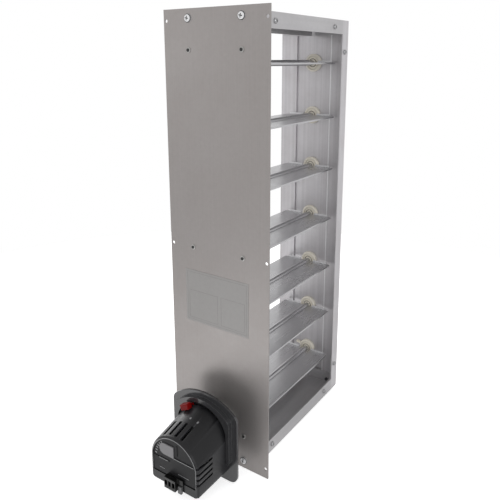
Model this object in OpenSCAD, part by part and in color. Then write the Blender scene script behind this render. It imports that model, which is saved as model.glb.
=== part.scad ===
// Motorized duct damper: a face plate with a sheet metal frame behind it, seven
// parallel blades, and a spring return actuator on a stand-off in front of the plate.
// X runs along the airflow, Y into the duct, Z up. The origin is on the back of the
// face plate, at the centre of its edge holes.

/* [Face plate] */
// Width of the face plate
plate_w = 160; // [150:1:200]
// Sheet thickness of the face plate
plate_t = 1.6; // [1:0.1:3]
// How far the plate stands past the frame at the top and bottom
plate_margin = 5; // [3:0.5:12]
// Diameter of the edge holes
edge_hole_d = 4.5; // [3.5:0.1:6]
// Edge hole centre to the plate's side
edge_hole_side = 4; // [3.5:0.1:6]
// Corner hole centre to the plate's end
edge_hole_end = 13.8; // [10:0.1:30]
// Width of the rating label
label_w = 104; // [60:1:120]
// Height of the rating label
label_h = 75; // [40:1:90]
// Thickness of the rating label
label_t = 0.3; // [0.2:0.05:0.5]
// Label centre from the plate's middle, down is negative
label_z = -70.5; // [-90:0.5:-60]
// Label centre sideways from the plate's middle
label_x = -3; // [-6:0.5:6]

/* [Frame] */
// Height of the frame
frame_h = 600; // [560:1:700]
// Depth of the frame along the airflow
frame_d = 114; // [104:1:130]
// Reach of the frame behind the face plate
frame_l = 248.4; // [200:0.1:320]
// Sheet thickness of the frame
sheet_t = 1.5; // [1:0.1:2]
// Lip width of the two side channels
post_lip = 19; // [16:0.5:22]
// Lip width of the top and bottom rails
rail_lip = 19.5; // [16:0.5:21]
// Width of the raised strip along the far channel
strip_w = 60; // [50:1:64]
// Height of the raised strip
strip_depth = 2.5; // [1.5:0.1:4]
// Leg length of the corner brackets
gusset_leg = 54; // [50:1:70]
// Sheet thickness of the corner brackets
gusset_t = 1.5; // [1:0.1:2]

/* [Fasteners] */
// Corner screw distance from the frame's corner
corner_screw_step = 45; // [40:0.5:46]
// Corner screw distance from the frame's outer face
corner_screw_inset = 10.5; // [8:0.5:11]
// Head diameter of the corner screws
corner_head_d = 7; // [6:0.1:8]
// Sideways distance of the plate's screws from its middle
plate_screw_x = 40.4; // [36:0.1:44]
// Large plate screws below the frame's ends
rail_screw_inset = 6.5; // [6:0.1:9]
// Washer diameter of the large plate screws
rail_washer_d = 10.8; // [10:0.1:13]
// Rivets below the frame's ends
rivet_inset = 44.4; // [40:0.1:60]
// Head diameter of the rivets
rivet_head_d = 6.5; // [5.5:0.1:8]

/* [Blades] */
// Number of blades
blade_n = 7; // [6:1:8]
// Top blade axis below the top of the frame
top_blade_inset = 60.5; // [58:0.1:64]
// Bottom blade axis above the bottom of the frame
bottom_blade_inset = 54.1; // [53:0.1:60]
// How much closed blades lap each other
blade_lap = 1.8; // [1:0.1:3]
// Blade sheet thickness
blade_t = 1.2; // [0.8:0.1:1.4]
// Width of the folded edge of a blade
hem_w = 5; // [3:0.5:8]
// Height of the turned-up ends of a blade
end_lip_h = 2.6; // [1.5:0.1:3.5]
// Diameter of the blade's centre tube
tube_d = 8.6; // [8.2:0.1:9.6]
// Diameter of the blade shaft
shaft_d = 6.4; // [5.6:0.1:7]
// Blade end to the far channel's strip
far_gap = 9.5; // [8.5:0.5:14]
// Blade end to the near channel's web
near_gap = 18.5; // [18:0.5:24]
// Angle of the closed blades
closed_deg = 87; // [84:0.5:88]

/* [Bushings and linkage] */
// Flange diameter of the bushings
bushing_d = 27; // [24:0.5:30]
// Flange thickness of the bushings
bushing_t = 3.5; // [2.5:0.1:4]
// Boss diameter of the bushings
boss_d = 15; // [13:0.5:17]
// Boss height above the bushing's flange
boss_h = 1.3; // [0.8:0.1:1.8]
// Crank radius, from shaft to pin
crank_r = 22; // [20:0.5:25]
// Thickness of the crank arms
crank_t = 2.5; // [2:0.1:3]
// Diameter of the crank's hub
crank_hub_d = 13; // [11:0.5:13.5]
// Diameter of the crank pins
pin_d = 5; // [4:0.1:5.5]
// Width of the linkage bar
bar_w = 12; // [10:0.5:13]
// Thickness of the linkage bar
bar_t = 2; // [1.5:0.1:2.2]

/* [Actuator base] */
// Face plate to the back of the actuator's flange
standoff = 31; // [28:0.5:36]
// Thickness of the mounting plate
mount_t = 3; // [2.5:0.1:4]
// Diameter of the round mounting plate
mount_w = 56; // [54:1:60]
// Outer diameter of the base's neck
neck_d = 52; // [50:0.5:54]
// Wall thickness of the neck
neck_wall = 2.5; // [2:0.1:3]
// Margin of the base flange beside the raised rim
flange_w = 8; // [6:0.5:11]
// Thickness of the base flange
flange_t = 3.5; // [3:0.1:4.5]
// Height of the flange's crown above the drive shaft
flange_top = 60.2; // [58:0.1:64]
// Depth of the flange's foot below the drive shaft
flange_foot = 56.4; // [52:0.1:60]
// Width of the raised rim's band beside the body
rim_w = 5.8; // [5:0.1:8]
// Height of the raised rim's crown above the drive shaft
rim_top = 53.4; // [52:0.1:56]
// How far the rim stands in front of the flange
rim_t = 6.5; // [6:0.1:7]

/* [Actuator body] */
// Width of the body
body_w = 79.5; // [77:0.5:81]
// Crown of the body's back above the drive shaft
body_top = 42.8; // [42:0.1:43]
// Crown of the body's front above the drive shaft
nose_top = 28.4; // [26:0.1:31]
// Foot of the body below the drive shaft
body_foot = 42; // [40:0.1:43]
// Length of the body in front of the flange
body_l = 61.5; // [59:0.5:66]
// Wall thickness of the body
body_wall = 2.2; // [1.8:0.1:2.4]
// Width of the front panel
panel_w = 71; // [68:0.5:72]
// Thickness of the front panel
panel_t = 2; // [1.5:0.1:2.5]
// Number of vent slots on the top and on the side
vent_n = 4; // [3:1:5]
// Width of a vent slot
vent_w = 3.2; // [2:0.1:3.6]
// Length of a vent slot
vent_l = 23; // [18:1:28]

/* [Gear train] */
// Teeth of the output gear
output_teeth = 44; // [40:1:46]
// Teeth of the idler's small gear
idler_small_teeth = 12; // [11:1:12]
// Module of the output pair
output_module = 1; // [0.9:0.05:1]
// Teeth of the idler's large gear
idler_large_teeth = 36; // [30:1:36]
// Teeth of the motor pinion
pinion_teeth = 10; // [9:1:11]
// Module of the motor pair
motor_module = 0.65; // [0.6:0.05:0.7]
// Thickness of the gears
gear_t = 5; // [4:0.1:5.2]
// Diameter of the motor
motor_d = 42; // [36:0.5:44]
// Length of the motor
motor_l = 28; // [22:0.5:29]
// Outer diameter of the output hub
hub_d = 14; // [12:0.5:14]
// Travel of the release lever to each side of upright
lever_deg = 26; // [20:0.5:28]

/* [Hidden] */
$fn = 48;

// Shared clearances
over = 1;
run = 0.08;
slip = 0.15;
seat = 0.3;

// Face plate and frame
plate_h = frame_h + 2 * plate_margin;
edge_hole_x = plate_w / 2 - edge_hole_side;
edge_hole_z = plate_h / 2 - edge_hole_end;
half_h = frame_h / 2;
half_d = frame_d / 2;
rail_z = half_h - sheet_t;
far_web = frame_l - sheet_t;
strip_in = far_web + strip_depth;
strip_out = frame_l + strip_depth;
gusset_rail_w = rail_lip - gusset_t;
gusset_post_w = post_lip - gusset_t;
tab_h = rail_lip - sheet_t;
tab_w = 2 * (half_d - sheet_t - gusset_t - seat);

// Blade stack
blade_pitch = (frame_h - top_blade_inset - bottom_blade_inset) / (blade_n - 1);
blade_chord = blade_pitch + blade_lap;
drive_z = bottom_blade_inset - half_h;
top_z = drive_z + (blade_n - 1) * blade_pitch;
blade_y0 = sheet_t + near_gap;
blade_y1 = strip_in - far_gap;
tip_x = blade_chord / 2 * cos(closed_deg);
tip_z = blade_chord / 2 * sin(closed_deg);
stop_lap = 1.5;
stop_foot = 12;
stop_gap = 0.4;

// Bushings and linkage
sleeve_d = 11;
sleeve_l = 3;
lug_l = 8;
lug_t = 3;
crank_gap = 0.7;
crank_y0 = sheet_t + bushing_t + boss_h + crank_gap;
crank_y1 = crank_y0 + crank_t;
crank_hub_l = 8;
crank_eye_d = 10;
bar_gap = 0.6;
bar_y0 = crank_y1 + bar_gap;
clip_t = 1.2;
clip_d = 8;
bar_end = 9;
crank_rest = 180 + closed_deg / 2;
pin_x = crank_r * cos(crank_rest);
pin_z = crank_r * sin(crank_rest);

// Fasteners
corner_head_h = 2.2;
corner_rim_h = 1.1;
corner_top_d = 5;
corner_shank_d = 3.5;
corner_shank_over = 3;
corner_shank_l = sheet_t + gusset_t + corner_shank_over;
pan_d = 8.8;
pan_h = 2.6;
washer_t = 0.6;
rail_shank_d = 4.6;
rail_shank_over = 5;
rail_shank_l = plate_t + 2 * sheet_t + rail_shank_over;
recess_w = 1.1;
recess_l = 4.6;
recess_d = 1.6;
rivet_head_h = 1.6;
rivet_d = 3.2;
rivet_hole_d = 2;
rivet_tail = 2.4;
rivet_tail_d = 5;

// Actuator, measured in front of the plate and from the drive shaft
flange_f = standoff + flange_t;
rim_f = flange_f + rim_t;
nose_f = flange_f + body_l;
bevel = 2.2;
rim_gap = 0.4;
rim_inner = body_w / 2 + rim_gap;
rim_half = rim_inner + rim_w;
flange_half = rim_half + flange_w;
rim_band = 6;
rim_inner_top = rim_top - rim_band;
rim_foot = -26;
flange_bulge = 26;
flange_r = flange_half + flange_bulge;
flange_shoulder_r = 12;
flange_foot_r = 11;
rim_bulge = 16;
rim_r = rim_half + rim_bulge;
rim_shoulder_r = 9;
rim_foot_r = 2;
rim_inner_bulge = 1.9;
rim_inner_r = rim_inner + rim_inner_bulge;
rim_inner_shoulder_r = 4;
body_bulge = 0.5;
body_corner_r = 4;
panel_foot = -30.5;
panel_top = 25.2;
panel_bulge = 1;
panel_shoulder_r = 4;
panel_foot_r = 2;
panel_recess = 1.2;
panel_ledge = 2;
panel_f = nose_f - panel_recess;
hub_clear = 5;
hub_back = mount_t + hub_clear;
lever_gap = 1.6;
lever_f = flange_f + lever_gap;
lever_t = 2;
gear_gap = 1.4;
gear_step = 2.5;
gear_f = lever_f + lever_t + gear_gap;
gear2_f = gear_f + gear_t + gear_step;
plate_f = gear2_f + gear_t + gear_step;
gear_plate_t = 2;
motor_f = plate_f + gear_plate_t;
board_gap = 2.5;
board_f = motor_f + motor_l + board_gap;
board_t = 1.6;
shaft_tip = gear_f + gear_t;

// Gear centres: the idler sits down beside the drive shaft, the motor beside the idler
idler_reach = output_module * (output_teeth + idler_small_teeth) / 2;
idler_deg = 232;
idler_x = idler_reach * cos(idler_deg);
idler_z = idler_reach * sin(idler_deg);
motor_reach = motor_module * (idler_large_teeth + pinion_teeth) / 2;
motor_deg = 30;
motor_x = idler_x + motor_reach * cos(motor_deg);
motor_z = idler_z + motor_reach * sin(motor_deg);
axle_d = 3;
motor_shaft_d = 2.4;

// Posts, bosses and screws inside the actuator
post_d = 6;
post_shares = [[0.77, 0.16], [-0.77, 0.16], [0.57, -0.84], [0.29, -0.86]];
boss_shares = [[-0.86, -0.87], [0.86, -0.87], [-0.65, 0.61], [0.65, 0.61]];
function in_body(shares) =
    [for (p = shares) [p[0] * body_w / 2, p[1] * (p[1] > 0 ? body_top : body_foot)]];
post_xz = in_body(post_shares);
boss_xz = in_body(boss_shares);
boss_od = 7;
screw_d = 3;
small_head_d = 5.5;
small_head_h = 2;
base_screw_x = 20;
base_screw_d = 4;
mount_screw_xz = 13.5;
mount_screw_d = 4;
mount_tail = 2;
mount_head_d = 6;
base_head_d = 6.5;
base_head_h = 1;
base_column_d = 8;
plate_head_d = 4.5;
plate_head_h = 1;

// Helpers
module box(x0, x1, y0, y1, z0, z1) {
    translate([x0, y0, z0]) cube([x1 - x0, y1 - y0, z1 - z0]);
}
module rod(d, y0, y1) {
    translate([0, y0, 0]) rotate([-90, 0, 0]) cylinder(d = d, h = y1 - y0);
}
module rod_x(d, x0, x1) {
    translate([x0, 0, 0]) rotate([0, 90, 0]) cylinder(d = d, h = x1 - x0);
}
// A place in the actuator: the drive shaft's axis on the front of the face plate
module at_drive() {
    translate([0, -plate_t, drive_z]) children();
}
// A flat outline made a slab from f0 to f1 in front of the face plate
module slab(f0, f1) {
    translate([0, -f0, 0]) rotate([90, 0, 0]) linear_extrude(f1 - f0) children();
}
// A rod from f0 to f1 in front of the face plate
module pin(d, f0, f1) {
    translate([0, -f0, 0]) rotate([90, 0, 0]) cylinder(d = d, h = f1 - f0);
}
module at_blade(i) {
    translate([0, 0, drive_z + i * blade_pitch]) children();
}
function arc(cx, cz, r, a0, a1, n) =
    [for (i = [0:n]) [cx + r * cos(a0 + (a1 - a0) * i / n), cz + r * sin(a0 + (a1 - a0) * i / n)]];
// Points of an arch: flat foot, straight sides and a round crown, all corners rounded
function arch(half, foot, crown, crown_r, shoulder_r, foot_r) =
    let (cz = crown - crown_r,
         sx = half - shoulder_r,
         sz = cz + sqrt(pow(crown_r - shoulder_r, 2) - sx * sx),
         a = atan2(sz - cz, sx))
    concat(
        arc(half - foot_r, foot + foot_r, foot_r, -90, 0, 5),
        arc(sx, sz, shoulder_r, 0, a, 4),
        arc(0, cz, crown_r, a, 180 - a, 24),
        arc(-sx, sz, shoulder_r, 180 - a, 180, 4),
        arc(foot_r - half, foot + foot_r, foot_r, 180, 270, 5));

// Outlines of the actuator
module flange_outline() {
    polygon(arch(flange_half, -flange_foot, flange_top, flange_r, flange_shoulder_r, flange_foot_r));
}
module rim_outline() {
    difference() {
        polygon(arch(rim_half, rim_foot, rim_top, rim_r, rim_shoulder_r, rim_foot_r));
        polygon(arch(rim_inner, rim_foot - over, rim_inner_top, rim_inner_r, rim_inner_shoulder_r, over / 2));
    }
}
module body_outline(crown, inset) {
    polygon(arch(body_w / 2 - inset, -body_foot + inset, crown - inset, body_w / 2 + body_bulge - inset,
        body_corner_r, body_corner_r));
}
module panel_outline(inset) {
    polygon(arch(panel_w / 2 - inset, panel_foot + inset, panel_top - inset, panel_w / 2 + panel_bulge - inset,
        panel_shoulder_r, panel_foot_r));
}

// Face plate and label
module face_plate() color("silver") difference() {
    box(-plate_w / 2, plate_w / 2, -plate_t, 0, -plate_h / 2, plate_h / 2);
    for (x = [-1, 1], z = [-1, 0, 1])
        translate([x * edge_hole_x, 0, z * edge_hole_z]) rod(edge_hole_d, -plate_t - over, over);
    for (x = [-1, 1]) {
        for (z = [-1, 1])
            translate([x * plate_screw_x, 0, z * (half_h - rail_screw_inset)])
                rod(rail_shank_d + 2 * slip, -plate_t - over, over);
        for (z = [-1, 0, 1])
            translate([x * plate_screw_x, 0, z * (half_h - rivet_inset)])
                rod(rivet_d + 2 * slip, -plate_t - over, over);
    }
    translate([0, 0, drive_z]) rod(boss_d + seat, -plate_t - over, over);
    at_drive() for (x = [-1, 1], z = [-1, 1])
        translate([x * mount_screw_xz, 0, z * mount_screw_xz])
            rod(mount_screw_d + 2 * slip, -over, plate_t + over);
}
module rating_label() color("gainsboro")
    translate([label_x, 0, label_z])
        box(-label_w / 2, label_w / 2, -plate_t - label_t, -plate_t, -label_h / 2, label_h / 2);

// Frame
// The lip stands on the front side only
module post_front(lip0, lip1) {
    box(half_d - sheet_t, half_d, lip0, lip1, -half_h, half_h);
}
module near_channel() color("gainsboro") difference() {
    union() {
        box(-half_d, half_d, 0, sheet_t, -half_h, half_h);
        post_front(0, post_lip);
    }
    for (x = [-1, 1]) {
        for (z = [-1, 1]) translate([x * plate_screw_x, 0, z * (half_h - rail_screw_inset)])
            rod(rail_shank_d + 2 * slip, -over, sheet_t + over);
        for (z = [-1, 0, 1]) translate([x * plate_screw_x, 0, z * (half_h - rivet_inset)])
            rod(rivet_d + 2 * slip, -over, sheet_t + over);
    }
    for (i = [0:blade_n - 1]) at_blade(i) rod(sleeve_d + 2 * slip, -over, sheet_t + over);
    at_drive() for (x = [-1, 1], z = [-1, 1])
        translate([x * mount_screw_xz, 0, z * mount_screw_xz])
            rod(mount_screw_d + 2 * slip, plate_t - over, plate_t + sheet_t + over);
    post_screw_holes(corner_screw_inset);
}
module far_channel() color("gainsboro") difference() {
    union() {
        for (s = [-1, 1]) scale([s, 1, 1])
            box(strip_w / 2, half_d, far_web, frame_l, -half_h, half_h);
        box(-strip_w / 2, strip_w / 2, strip_in, strip_out, -half_h, half_h);
        for (s = [-1, 1]) scale([s, 1, 1])
            box(strip_w / 2 - sheet_t / 2, strip_w / 2 + sheet_t / 2, far_web, strip_out, -half_h, half_h);
        post_front(frame_l - post_lip, frame_l);
    }
    for (i = [0:blade_n - 1]) at_blade(i) rod(sleeve_d + 2 * slip, far_web, strip_out + over);
    for (x = [-1, 1], z = [-1, 1]) translate([x * plate_screw_x, 0, z * (half_h - rail_screw_inset)])
        rod(rivet_d + 2 * slip, far_web - over, frame_l + over);
    post_screw_holes(frame_l - corner_screw_inset);
}
module post_screw_holes(y) {
    for (z = [-1, 1]) translate([0, y, z * (half_h - corner_screw_step)])
        rod_x(corner_shank_d + 2 * slip, half_d - sheet_t - over, half_d + over);
}
module rail_screw_holes() {
    for (y = [corner_screw_step, frame_l - corner_screw_step])
        translate([0, y, half_h - corner_screw_inset])
            rod_x(corner_shank_d + 2 * slip, half_d - sheet_t - over, half_d + over);
}
module rail() difference() {
    union() {
        box(-half_d, half_d, post_lip, frame_l - post_lip, rail_z, half_h);
        box(-half_d + sheet_t, half_d - sheet_t, sheet_t, far_web, rail_z, half_h);
        box(half_d - sheet_t, half_d, post_lip, frame_l - post_lip, half_h - rail_lip, half_h);
        box(-tab_w / 2, tab_w / 2, sheet_t, 2 * sheet_t, rail_z - tab_h, half_h);
        box(-tab_w / 2, tab_w / 2, far_web - sheet_t, far_web, rail_z - tab_h, half_h);
    }
    rail_screw_holes();
    for (x = [-1, 1]) translate([x * plate_screw_x, 0, half_h - rail_screw_inset]) {
        rod(rail_shank_d + 2 * slip, 0, 2 * sheet_t + over);
        rod(rivet_d + 2 * slip, far_web - sheet_t - over, frame_l + over);
    }
}
module top_rail() color("gainsboro") rail();
module bottom_rail() color("gainsboro") mirror([0, 0, 1]) rail();

// L-shaped brackets behind the lips, one at each corner
module gusset(y_side) {
    x0 = half_d - sheet_t - gusset_t;
    x1 = half_d - sheet_t;
    translate([0, y_side > 0 ? sheet_t : far_web, 0]) scale([1, y_side, 1]) difference() {
        union() {
            box(x0, x1, gusset_t, gusset_leg, rail_z - gusset_rail_w, rail_z);
            box(x0, x1, gusset_t, gusset_post_w, rail_z - gusset_leg, rail_z);
        }
        translate([0, corner_screw_step - sheet_t, half_h - corner_screw_inset])
            rod_x(corner_shank_d + 2 * slip, x0 - over, x1 + over);
        translate([0, corner_screw_inset - sheet_t, half_h - corner_screw_step])
            rod_x(corner_shank_d + 2 * slip, x0 - over, x1 + over);
    }
}
module corner_brackets() color("lightgray")
    for (z = [-1, 1], y = [-1, 1]) scale([1, 1, z]) gusset(y);

// Fasteners
module corner_screw() {
    difference() {
        union() {
            rod_x(corner_head_d, 0, corner_rim_h);
            translate([corner_rim_h, 0, 0]) rotate([0, 90, 0])
                cylinder(d1 = corner_head_d, d2 = corner_top_d, h = corner_head_h - corner_rim_h);
        }
        for (a = [0, 90]) rotate([a + 20, 0, 0])
            box(corner_head_h - recess_d / 2, corner_head_h + over,
                -recess_l / 2.4, recess_l / 2.4, -recess_w / 2, recess_w / 2);
    }
    rod_x(corner_shank_d, -corner_shank_l, 0);
}
module corner_screws() color("darkgray")
    for (z = [-1, 1]) scale([1, 1, z]) translate([half_d, 0, 0]) {
        for (y = [corner_screw_step, frame_l - corner_screw_step])
            translate([0, y, half_h - corner_screw_inset]) corner_screw();
        for (y = [corner_screw_inset, frame_l - corner_screw_inset])
            translate([0, y, half_h - corner_screw_step]) corner_screw();
    }
module pan_screw() {
    difference() {
        union() {
            rod(rail_washer_d, -washer_t, 0);
            translate([0, -washer_t / 2, 0]) rotate([90, 0, 0]) intersection() {
                cylinder(d = pan_d, h = pan_h);
                translate([0, 0, pan_h - pan_d]) sphere(d = 2 * pan_d);
            }
        }
        for (a = [0, 90]) rotate([0, a + 10, 0])
            box(-recess_l / 2, recess_l / 2, -pan_h - over, recess_d - pan_h, -recess_w / 2, recess_w / 2);
    }
    rod(rail_shank_d, 0, rail_shank_l);
}
module rail_screws() color("silver")
    for (x = [-1, 1], z = [-1, 1])
        translate([x * plate_screw_x, -plate_t, z * (half_h - rail_screw_inset)]) pan_screw();
module rivet(grip) {
    difference() {
        union() {
            rotate([90, 0, 0]) intersection() {
                cylinder(d = rivet_head_d, h = rivet_head_h);
                translate([0, 0, rivet_head_h - rivet_head_d]) sphere(d = 2 * rivet_head_d);
            }
            rod(rivet_d, 0, grip);
            rod(rivet_tail_d, grip, grip + rivet_tail);
        }
        rod(rivet_hole_d, -rivet_head_h - over, grip);
    }
}
module plate_rivets() color("dimgray")
    for (x = [-1, 1], z = [-1, 0, 1])
        translate([x * plate_screw_x, -plate_t, z * (half_h - rivet_inset)]) rivet(plate_t + sheet_t);
module far_rivets() color("dimgray")
    for (x = [-1, 1], z = [-1, 1])
        translate([x * plate_screw_x, frame_l, z * (half_h - rail_screw_inset)])
            mirror([0, 1, 0]) rivet(2 * sheet_t);

// Bushings: a flange and boss inside the frame, a sleeve through the web
module bushing(tail) {
    difference() {
        union() {
            rod(bushing_d, 0, bushing_t);
            rod(boss_d, bushing_t, bushing_t + boss_h);
            rod(sleeve_d, -tail, 0);
        }
        rod(shaft_d + 2 * run, -tail - over, bushing_t + boss_h + over);
        face_groove();
    }
}
// Shallow ring cut in the bushing's face
module face_groove() difference() {
    rod(bushing_d - 2 * groove_edge, bushing_t - groove_depth, bushing_t + over);
    rod(boss_d + 2 * groove_edge, bushing_t - groove_depth - over, bushing_t + 2 * over);
}
groove_edge = 2;
groove_depth = 0.6;
module near_bushings() color("ivory")
    for (i = [0:blade_n - 1]) at_blade(i) translate([0, sheet_t, 0]) bushing(sheet_t);
module far_bushings() color("ivory") {
    for (i = [0:blade_n - 1]) at_blade(i)
        translate([0, strip_in, 0]) mirror([0, 1, 0]) bushing(sheet_t + sleeve_l);
    at_blade(0) difference() {
        translate([0, strip_in, 0]) rotate([0, 12, 0])
            box(-bushing_d / 2 - lug_l, -bushing_d / 2 + seat, -bushing_t, 0, 0, lug_t);
        rod(boss_d, 0, frame_l);
    }
}

// Blade stops on the two rails
module top_stop() color("lightgray") {
    x0 = blade_t / 2 + stop_gap - tip_x;
    box(x0, x0 + sheet_t, blade_y0, blade_y1, top_z + tip_z - stop_lap, rail_z);
    box(x0, x0 + stop_foot, blade_y0, blade_y1, rail_z - sheet_t, rail_z);
}
module bottom_stop() color("lightgray") {
    x1 = tip_x - 1.5 * blade_t - stop_gap;
    box(x1 - sheet_t, x1, blade_y0, blade_y1, -rail_z, drive_z - tip_z + stop_lap);
    box(x1 - stop_foot, x1, blade_y0, blade_y1, -rail_z, sheet_t - rail_z);
}

// One blade: a folded sheet on a centre tube, its ends turned up
module blade() color("lightgray") difference() {
    union() {
        rod(tube_d, blade_y0, blade_y1);
        box(-blade_chord / 2, blade_chord / 2, blade_y0, blade_y1, -blade_t / 2, blade_t / 2);
        for (s = [-1, 1]) scale([s, 1, 1]) {
            box(blade_chord / 2 - hem_w, blade_chord / 2, blade_y0, blade_y1, -1.5 * blade_t, 0);
            for (y = [blade_y0, blade_y1 - blade_t])
                box(boss_d / 2 + tube_d / 2, blade_chord / 2 - hem_w, y, y + blade_t, 0, end_lip_h + blade_t / 2);
        }
    }
    rod(shaft_d + 2 * slip, blade_y0 - over, blade_y1 + over);
}
// One shaft, from the near bushing to the far one; the lowest reaches into the hub
module shaft(i) color("silver")
    rod(shaft_d, i == 0 ? -plate_t - shaft_tip : 0, strip_out + sleeve_l - seat);
// One crank arm with its hub and riveted pin
module crank() color("darkgray") difference() {
    union() {
        rod(crank_hub_d, crank_y0, crank_y1 + crank_hub_l);
        rod(crank_hub_d + 2 * crank_t, crank_y0, crank_y1);
        translate([pin_x, 0, pin_z]) {
            rod(crank_eye_d, crank_y0, crank_y1);
            rod(pin_d, crank_y1, bar_y0 + bar_t + seat);
            rod(clip_d, bar_y0 + bar_t + seat, bar_y0 + bar_t + seat + clip_t);
        }
        rotate([0, -crank_rest, 0])
            box(0, crank_r, crank_y0, crank_y1, -crank_eye_d / 2, crank_eye_d / 2);
    }
    rod(shaft_d + 2 * slip, crank_y0 - over, crank_y1 + crank_hub_l + over);
    rotate([0, -crank_rest, 0]) translate([0, crank_y1 + crank_hub_l / 2, 0])
        rod_x(screw_d, -crank_hub_d, 0);
}
module linkage_bar() color("silver") difference() {
    translate([pin_x, 0, pin_z]) {
        box(-bar_w / 2, bar_w / 2, bar_y0, bar_y0 + bar_t, drive_z - bar_end, top_z + bar_end);
    }
    for (i = [0:blade_n - 1]) at_blade(i)
        translate([pin_x, 0, pin_z]) rod(pin_d + 2 * run, bar_y0 - over, bar_y0 + bar_t + over);
}

// Mounting plate between the face plate and the actuator's neck
module mounting_plate() color("darkgray") at_drive() difference() {
    pin(mount_w, 0, mount_t);
    pin(hub_d + 2 * seat, -over, mount_t + over);
    for (x = [-1, 1]) {
        translate([x * base_screw_x, 0, 0]) pin(base_screw_d + 2 * slip, -over, mount_t + over);
        for (z = [-1, 1]) translate([x * mount_screw_xz, 0, z * mount_screw_xz])
            pin(mount_screw_d + 2 * slip, -over, mount_t + over);
    }
}
module mounting_plate_screws() color("silver") at_drive()
    for (x = [-1, 1], z = [-1, 1]) translate([x * mount_screw_xz, 0, z * mount_screw_xz]) {
        pin(mount_screw_d, -plate_t - sheet_t - mount_tail, mount_t);
        pin(mount_head_d, mount_t, mount_t + small_head_h);
    }
module base_screws() color("silver") at_drive()
    for (x = [-1, 1]) translate([x * base_screw_x, 0, 0]) {
        pin(base_screw_d, seat, flange_f);
        pin(base_head_d, flange_f, flange_f + base_head_h);
    }
module actuator_base() color("dimgray") at_drive() difference() {
    union() {
        slab(standoff, flange_f) flange_outline();
        slab(flange_f, rim_f) rim_outline();
        difference() {
            pin(neck_d, mount_t, standoff);
            pin(neck_d - 2 * neck_wall, mount_t - over, standoff - neck_wall);
        }
        for (x = [-1, 1]) translate([x * base_screw_x, 0, 0])
            pin(base_column_d, mount_t, standoff);
        for (p = post_xz) translate([p[0], 0, p[1]]) pin(post_d, flange_f, plate_f);
    }
    pin(hub_d + 2 * run, standoff - neck_wall - over, flange_f + over);
    for (x = [-1, 1]) translate([x * base_screw_x, 0, 0])
        pin(base_screw_d + 2 * slip, 0, flange_f + over);
    for (p = post_xz) translate([p[0], 0, p[1]])
        pin(screw_d + 2 * slip, plate_f - screw_bite, plate_f + over);
    for (p = boss_xz) translate([p[0], 0, p[1]])
        pin(screw_d + 2 * slip, standoff - over, flange_f + over);
    translate([idler_x, 0, idler_z]) pin(axle_d + 2 * slip, standoff + over, flange_f + over);
}
screw_bite = 8;

// Flat coil of spring band round the hub, as one spiral strip
spring_turns = 4;
spring_band = 0.5;
spring_gap = 0.8;
spring_r0 = hub_d / 2 + spring_gap;
spring_r1 = base_screw_x - base_column_d / 2 - spring_gap;
spring_back = 8;
spring_f = mount_t + spring_back;
spring_w = 9;
spring_steps = 24;
function spiral(r_add) = [for (i = [0:spring_turns * spring_steps])
    let (a = 360 * i / spring_steps,
         r = spring_r0 + (spring_r1 - spring_r0) * i / (spring_turns * spring_steps) + r_add)
    [r * cos(a), r * sin(a)]];
function backwards(list) = [for (i = [len(list) - 1:-1:0]) list[i]];
module return_spring() color("slategray") at_drive()
    slab(spring_f, spring_f + spring_w)
        polygon(concat(spiral(0), backwards(spiral(spring_band))));

module gear_plate() color("silver") at_drive() difference() {
    slab(plate_f, plate_f + gear_plate_t) offset_body(body_wall + plate_gap);
    for (p = post_xz) translate([p[0], 0, p[1]]) pin(screw_d + 2 * slip, plate_f - over, motor_f + over);
    translate([idler_x, 0, idler_z]) pin(axle_d + 2 * slip, plate_f - over, motor_f + over);
    translate([motor_x, 0, motor_z]) pin(motor_neck_d + 2 * slip, plate_f - over, motor_f + over);
}
motor_neck_d = 9;
plate_gap = 1;
// The body's outline at a depth, drawn in by an inset
module offset_body(inset) {
    body_outline(body_top - (body_top - nose_top) * (plate_f + gear_plate_t - flange_f) / body_l, inset);
}
module gear_plate_screws() color("silver") at_drive()
    for (p = post_xz) translate([p[0], 0, p[1]]) {
        pin(screw_d, plate_f - screw_bite + over, motor_f);
        pin(plate_head_d, motor_f, motor_f + plate_head_h);
    }
module idler_axle() color("silver") at_drive() translate([idler_x, 0, idler_z]) difference() {
    pin(axle_d, standoff + over, motor_f);
}

// Gears: straight-sided teeth with room at the roots
tooth_fill = 0.38;
addendum = 0.86;
dedendum = 1.2;
flank_deg = 19;
function tooth(m, teeth) =
    let (rp = m * teeth / 2,
         half_pitch = m * PI * tooth_fill / 2,
         tip_half = half_pitch - m * addendum * tan(flank_deg),
         root_half = half_pitch + m * dedendum * tan(flank_deg),
         rt = rp + m * addendum,
         rr = rp - m * dedendum)
    [[rr, -root_half], [rt, -tip_half], [rt, tip_half], [rr, root_half]];
module gear_outline(m, teeth, turn) {
    polygon([for (i = [0:teeth - 1], p = tooth(m, teeth))
        let (a = turn + 360 * i / teeth)
        [p[0] * cos(a) - p[1] * sin(a), p[0] * sin(a) + p[1] * cos(a)]]);
}
module output_gear() color("white") at_drive() difference() {
    slab(gear_f, gear_f + gear_t) gear_outline(output_module, output_teeth, idler_deg);
    pin(hub_d + 2 * slip, gear_f - over, gear_f + gear_t + over);
    for (a = [0:60:300]) rotate([0, a, 0]) translate([output_module * output_teeth * 0.36, 0, 0])
        pin(gear_t, gear_f - over, gear_f + gear_t + over);
}
collar_l = 1.2;
module output_hub() color("ivory") at_drive() difference() {
    union() {
        pin(hub_d, hub_back, shaft_tip);
        pin(hub_d + 2 * over, gear_f - collar_l, gear_f);
    }
    pin(shaft_d + 2 * slip, hub_back - over, shaft_tip + over);
}
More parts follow.
